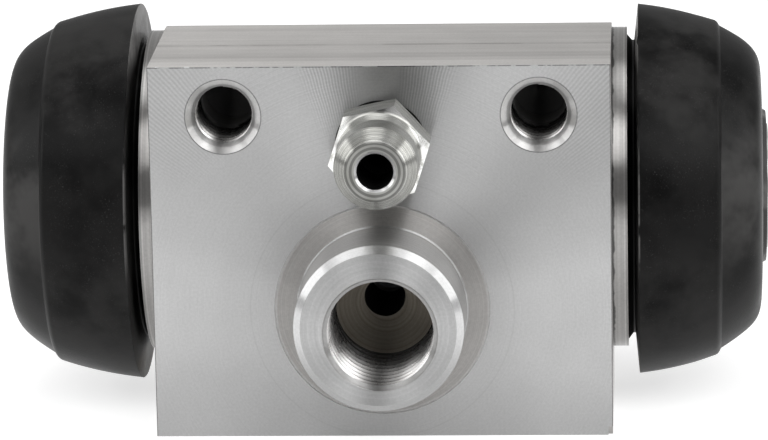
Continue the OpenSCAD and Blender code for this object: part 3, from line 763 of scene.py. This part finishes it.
def make_countersink(name, x, z, outline, finish):
    """Cone that the countersink leaves where it cuts the first turn of a thread; its inner edge is torn."""
    torn_share, torn_waves = 0.12, 5
    widest = max(radius for radius, along in outline)

    def place(radius, along, angle):
        wave = noise.noise(Vector((math.cos(angle) * torn_waves, math.sin(angle) * torn_waves, 0)))
        torn = (widest - radius) * wave
        return x + radius * math.cos(angle), along + torn_share * torn, z + radius * math.sin(angle)

    cone = new_piece(name, lathe(name, [Vector(p) for p in outline], place, segments=128))
    cone.data.materials.append(finish)
    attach(cone, "cylinder")


def make_spring(tree, finish):
    """Return spring in two halves, which meet in the middle."""
    turns, wire, coil_r, points_per_turn = 7.0, 0.9, 4.15, 48
    left_end, right_end = -9.09, 8.59
    closed = wire * 1.08
    open_pitch = (right_end - left_end - 2 * closed) / (turns - 2)
    along_x = (Matrix.Translation((left_end * MM, AXIS_Y * MM, AXIS_Z * MM))
               @ Matrix.Rotation(math.pi / 2, 4, "Y"))
    halves = (("return_spring_left_half", 0.0, turns / 2, "left_piston", left_end + closed),
              ("return_spring_right_half", turns / 2, turns, "right_piston", right_end - closed))
    for name, first, last, piston_body, end in halves:
        half = sweep_helix(name, tree, along_x, First_radius=coil_r * MM, Last_radius=coil_r * MM,
                           Closed_pitch=closed * MM, Open_pitch=open_pitch * MM, All_turns=turns,
                           First_turn=first, Last_turn=last, Section_height=wire * MM,
                           Section_width=wire * MM, Tip_width=wire * MM, Finish=finish,
                           Points=int((last - first) * points_per_turn))
        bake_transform(half)
        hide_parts("return_spring")


# Camera, floor and light

def place_camera():
    """Camera fitted to the photo: its place, how it is turned, and its focal length in pixels."""
    eye = Vector((24.05, -431.6, 112.0)) * MM
    yaw, pitch, roll = (math.radians(a) for a in (-3.15, 13.5, -1.07))
    focal_pixels, photo_pixels, sensor_width = 5000, 768, 36
    forward = Vector((math.sin(yaw) * math.cos(pitch), math.cos(yaw) * math.cos(pitch), -math.sin(pitch)))
    level = Vector((math.cos(yaw), -math.sin(yaw), 0))
    upright = level.cross(forward)
    right = math.cos(roll) * level + math.sin(roll) * upright
    up = math.cos(roll) * upright - math.sin(roll) * level
    camera = bpy.data.objects.new("camera", bpy.data.cameras.new("camera"))
    bpy.context.scene.collection.objects.link(camera)
    camera.data.sensor_fit = "HORIZONTAL"
    camera.data.sensor_width = sensor_width
    camera.data.lens = focal_pixels * sensor_width / photo_pixels
    camera.data.clip_start = 0.02
    axes = Matrix((right, up, -forward)).transposed().to_4x4()
    camera.matrix_world = Matrix.Translation(eye) @ axes
    bpy.context.scene.camera = camera


def seen_ray(n):
    """1 on the rays that show the background: straight, in a reflection or through glass."""
    path = n.tree.nodes.new("ShaderNodeLightPath").outputs
    return n.either(path["Is Camera Ray"], n.either(path["Is Glossy Ray"], path["Is Transmission Ray"]))


def make_floor():
    """White table, which shows as white where no shadow falls."""
    half_size, glow_strength, white, board_tone = 3.0, 0.66, grey(1.0), grey(0.6)
    level = (BASE_Z - 0.01) * MM
    mesh = bpy.data.meshes.new("floor")
    corners = [(sx * half_size, sy * half_size, level) for sx, sy in ((-1, -1), (1, -1), (1, 1), (-1, 1))]
    mesh.from_pydata(corners, [], [(0, 1, 2, 3)])
    floor = new_piece("floor", mesh)
    material = bpy.data.materials.new("white_table")
    material.use_nodes = True
    n = Nodes(material.node_tree)
    n.tree.nodes.clear()
    glow = n.add("ShaderNodeEmission", white, n.math("MULTIPLY", seen_ray(n), glow_strength))
    board = n.add("ShaderNodeBsdfDiffuse", board_tone)
    output = n.tree.nodes.new("ShaderNodeOutputMaterial")
    n.put(output.inputs["Surface"], n.add("ShaderNodeAddShader", glow, board))
    mesh.materials.append(material)


def make_room():
    """Pale studio, which lights the object softly."""
    strength = 0.42
    world = bpy.data.worlds.new("studio")
    bpy.context.scene.world = world
    world.use_nodes = True
    n = Nodes(world.node_tree)
    n.tree.nodes.clear()
    output = n.tree.nodes.new("ShaderNodeOutputWorld")
    n.put(output.inputs["Surface"], n.add("ShaderNodeBackground", grey(1.0), strength))


def make_shade_sheet():
    """Dark sheet on the table before the object, behind the lens and above it, unseen by the camera and
    casting no shadow: painted shade that only the metal's reflections show.
    """
    table = BASE_Z * MM + 0.0002
    # Rows of (y, left edge, right edge, z): along the table, up behind the lens and forward above it
    rows = [(-0.1, -0.022, 0.026, table), (-0.45, -0.055, 0.085, table), (-0.45, -0.055, 0.085, 0.1),
            (-0.42, -0.055, 0.085, 0.6), (-0.2, -0.055, 0.08, 0.78)]
    points = [(edge, y, z) for y, left, right, z in rows for edge in (left, right)]
    mesh = bpy.data.meshes.new("shade_sheet")
    mesh.from_pydata(points, [], [(i, i + 1, i + 3, i + 2) for i in range(0, 2 * len(rows) - 2, 2)])
    card = new_piece("shade_sheet", mesh)
    material = bpy.data.materials.new("shade_sheet_black")
    material.use_nodes = True
    shader = material.node_tree.nodes["Principled BSDF"]
    shader.inputs["Base Color"].default_value = grey(0.02)
    shader.inputs["Roughness"].default_value = 0.9
    mesh.materials.append(material)
    card.visible_camera = False
    card.visible_shadow = False


def softbox(name, place, width, height, watts):
    """Rectangular lamp that faces the object; its place and size are in metres."""
    aim = Vector((0, 0.01, 0.004))
    lamp = bpy.data.lights.new(name, "AREA")
    lamp.shape = "RECTANGLE"
    lamp.size, lamp.size_y = width, height
    lamp.energy = watts
    box = bpy.data.objects.new(name, lamp)
    bpy.context.scene.collection.objects.link(box)
    box.location = place
    box.rotation_euler = (aim - Vector(place)).to_track_quat("-Z", "Y").to_euler()


bpy.context.scene.view_settings.view_transform = "Standard"
place_camera()
make_floor()
make_room()
make_shade_sheet()
softbox("left_softbox", (-0.55, -0.06, 0.24), width=0.34, height=0.3, watts=1.0)
softbox("right_softbox", (0.55, -0.06, 0.24), width=0.34, height=0.3, watts=1.0)
softbox("front_left_softbox", (-0.3, -0.36, 0.45), width=0.42, height=0.36, watts=1.22)
softbox("front_right_softbox", (0.3, -0.36, 0.45), width=0.42, height=0.36, watts=1.66)
softbox("top_softbox", (-0.05, 0.05, 0.6), width=0.34, height=0.36, watts=0.62)

# Lit and shaded copies of one rubber: the dome's copy is painted lighter and shinier than the skirt's
skirt_rubber = boot_rubber_finish("boot_skirt_rubber", shine=0.09, clean=0.001, smudged=0.022,
                                  at_ends=1.0, at_middle=0.35)
dome_rubber = boot_rubber_finish("boot_dome_rubber", shine=0.11, clean=0.002, smudged=0.05,
                                 at_ends=0.22, at_middle=1.0)
inlet_thread = thread_finish("inlet_thread_cut", hole_x=0.0, hole_z=INLET_Z, crest_r=INLET_CREST_R,
                             taper=INLET_TAPER, mouth=INLET_START, dark=6.0)
mount_thread = thread_finish("mount_thread_cut", hole_x=MOUNT_X, hole_z=MOUNT_Z, crest_r=MOUNT_CREST_R,
                             taper=0.0, mouth=0.8, dark=4.5)
aluminium = aluminium_finish()
dress_node("body", aluminium)
dress_node("bleed_screw", zinc_finish())
piston = piston_finish()
seal = seal_rubber_finish()
sheet = pressed_sheet_finish()
for side_name in ("left", "right"):
    dress_node("piston_" + side_name, piston)
    dress_node("cup_seal_" + side_name, seal)
    dress_node("cup_expander_" + side_name, sheet)

make_boot("rubber_boot_left", "boot_left", -1, LEFT_OUT, LEFT_WIDE, sag=0.13,
          skirt_finish=skirt_rubber, dome_finish=dome_rubber)
make_boot("rubber_boot_right", "boot_right", 1, 0.0, 0.0, sag=0.21,
          skirt_finish=skirt_rubber, dome_finish=dome_rubber)
# Countersinks are outlines of (radius, y)
inlet_cone = ((5.02, -7.24), (4.72, -6.92), (5.02, -6.7))
mount_cone = ((3.02, 0.32), (2.86, 0.48), (2.56, 1.15), (3.02, 1.4))
ridge_tree = helix_tree("thread_ridge", "ridge")
make_countersink("inlet_countersink", HOLES_X, INLET_Z, inlet_cone, aluminium)
make_thread("inlet_thread", ridge_tree, HOLES_X, INLET_Z, INLET_START, INLET_END, INLET_CREST_R,
            INLET_TAPER, INLET_RIDGE, inlet_thread)
for side, side_name in ((-1, "left"), (1, "right")):
    mount_x = HOLES_X + side * MOUNT_X
    make_countersink("mount_countersink_" + side_name, mount_x, MOUNT_Z, mount_cone, aluminium)
    make_thread("mount_thread_" + side_name, ridge_tree, mount_x, MOUNT_Z, MOUNT_START, MOUNT_END,
                MOUNT_CREST_R, 0.0, MOUNT_RIDGE, mount_thread)
make_spring(helix_tree("coiled_wire", "wire"), spring_wire_finish())
